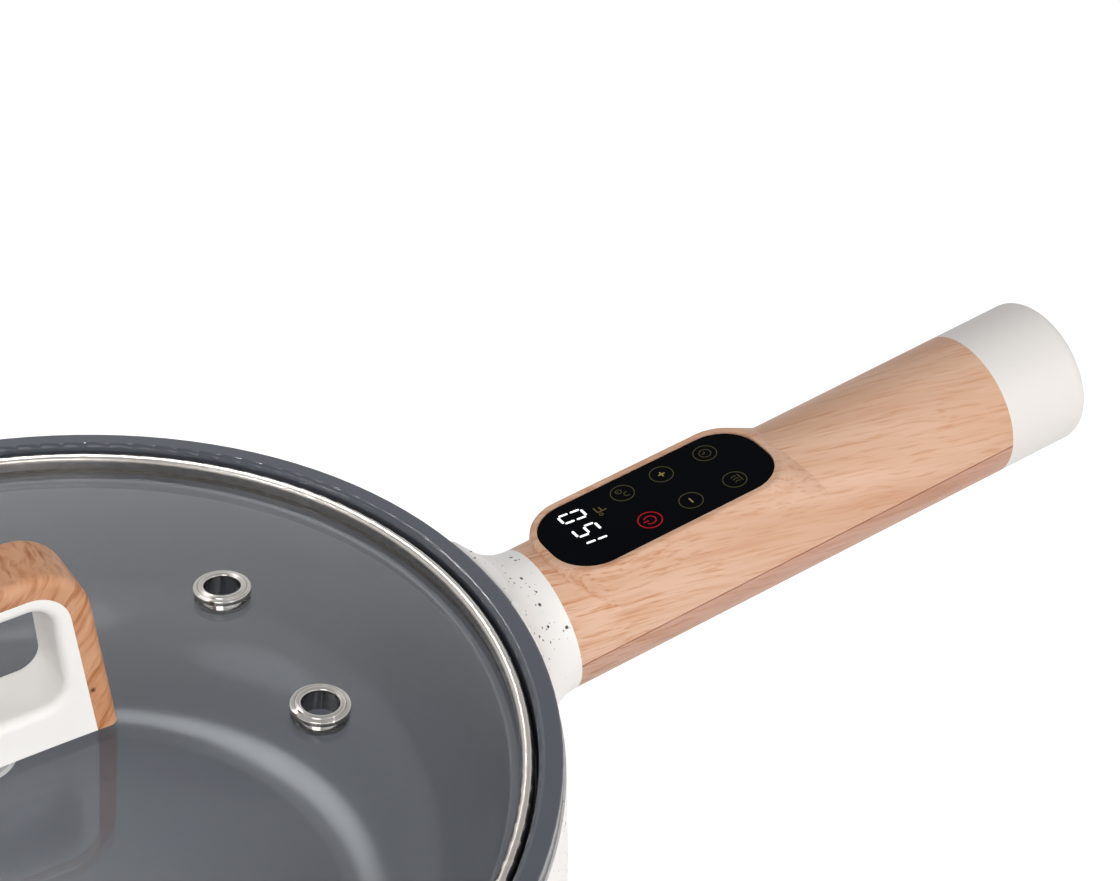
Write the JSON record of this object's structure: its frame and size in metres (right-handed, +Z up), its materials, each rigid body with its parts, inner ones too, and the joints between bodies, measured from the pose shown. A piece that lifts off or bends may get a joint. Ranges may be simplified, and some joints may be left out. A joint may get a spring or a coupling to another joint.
{
  "type": "electric skillet",
  "caption": "Round electric skillet with a lift-off domed glass lid, steam vents, a straight wood-look side handle with a touch panel, and a mains inlet at the handle's end.",
  "frame": {"origin": "on the table plane, on the pan's upright axis", "axes": "+Z up along the pan's axis, +X out along the side handle, +Y to the handle's left as seen from the pan"},
  "size_m": [0.4773, 0.2812, 0.149],
  "materials": {
    "pan_coating": "satin non-stick coating",
    "speckled_paint": "warm white enamel with fine dark specks",
    "base_plastic": "fine texture",
    "black_rubber": "matte",
    "screw_steel": "plated",
    "plate_aluminium": "plain",
    "element_steel": "heat-darkened sheath",
    "sheet_steel": "galvanised",
    "fuse_ceramic": "plain",
    "lead_sleeve": "silicone sleeve",
    "earth_sleeve": "silicone sleeve",
    "grip_wood_print": "pale wood-grain print under a satin lacquer",
    "panel_glass": "gloss, printed black behind",
    "display_white": "lit digits",
    "board_green": "solder mask",
    "pad_spring": "conductive foam",
    "relay_plastic": "moulded",
    "transformer_yellow": "taped windings",
    "capacitor_film": "moulded box",
    "cap_plastic": "warm white, fine texture",
    "inlet_plastic": "moulded",
    "blade_brass": "plain",
    "lid_glass": "clear, polished",
    "band_steel": "bright",
    "eyelet_chrome": "polished",
    "strap_wood": "open orange-brown grain, satin",
    "washer_silicone": "translucent silicone"
  },
  "bodies": {
    "cooker": {"cooking_pan": "pan_coating", "outer_shell": "speckled_paint", "neck_collar": "speckled_paint", "base_cover": "base_plastic", "foot_ring": "black_rubber", "neck_seal": "black_rubber", "panel_gasket": "black_rubber", "base_screws": "screw_steel", "bracket_screws": "screw_steel", "handle_screws": "screw_steel", "board_screws": "screw_steel", "heat_plate": "plate_aluminium", "temperature_probe": "plate_aluminium", "heating_element": "element_steel", "heat_reflector": "sheet_steel", "reflector_posts": "sheet_steel", "probe_bracket": "sheet_steel", "handle_bracket": "sheet_steel", "thermal_fuse": "fuse_ceramic", "heater_leads": "lead_sleeve", "inlet_leads": "lead_sleeve", "earth_lead": "earth_sleeve", "handle_upper_shell": "grip_wood_print", "handle_lower_shell": "grip_wood_print", "touch_glass": "panel_glass", "led_display": "display_white", "touch_board": "board_green", "power_board": "board_green", "touch_pads": "pad_spring", "power_relay": "relay_plastic", "buzzer": "relay_plastic", "board_link": "relay_plastic", "supply_transformer": "transformer_yellow", "filter_capacitor": "capacitor_film", "end_cap": "cap_plastic", "inlet_socket": "inlet_plastic", "inlet_blades": "blade_brass"},
    "lid": {"lid_glass": "lid_glass", "lid_band": "band_steel", "vent_eyelet_left": "eyelet_chrome", "vent_eyelet_right": "eyelet_chrome", "lid_handle_frame": "cap_plastic", "lid_handle_strap": "strap_wood", "lid_handle_insert": "blade_brass", "lid_handle_screw": "screw_steel", "lid_cup_washer": "band_steel", "lid_soft_washer": "washer_silicone"}
  },
  "joints": [
    {"name": "lid_lift", "type": "slide", "parent": "cooker", "child": "lid", "axis": [0, 0, 1], "range_m": [0, 0.12]}
  ]
}
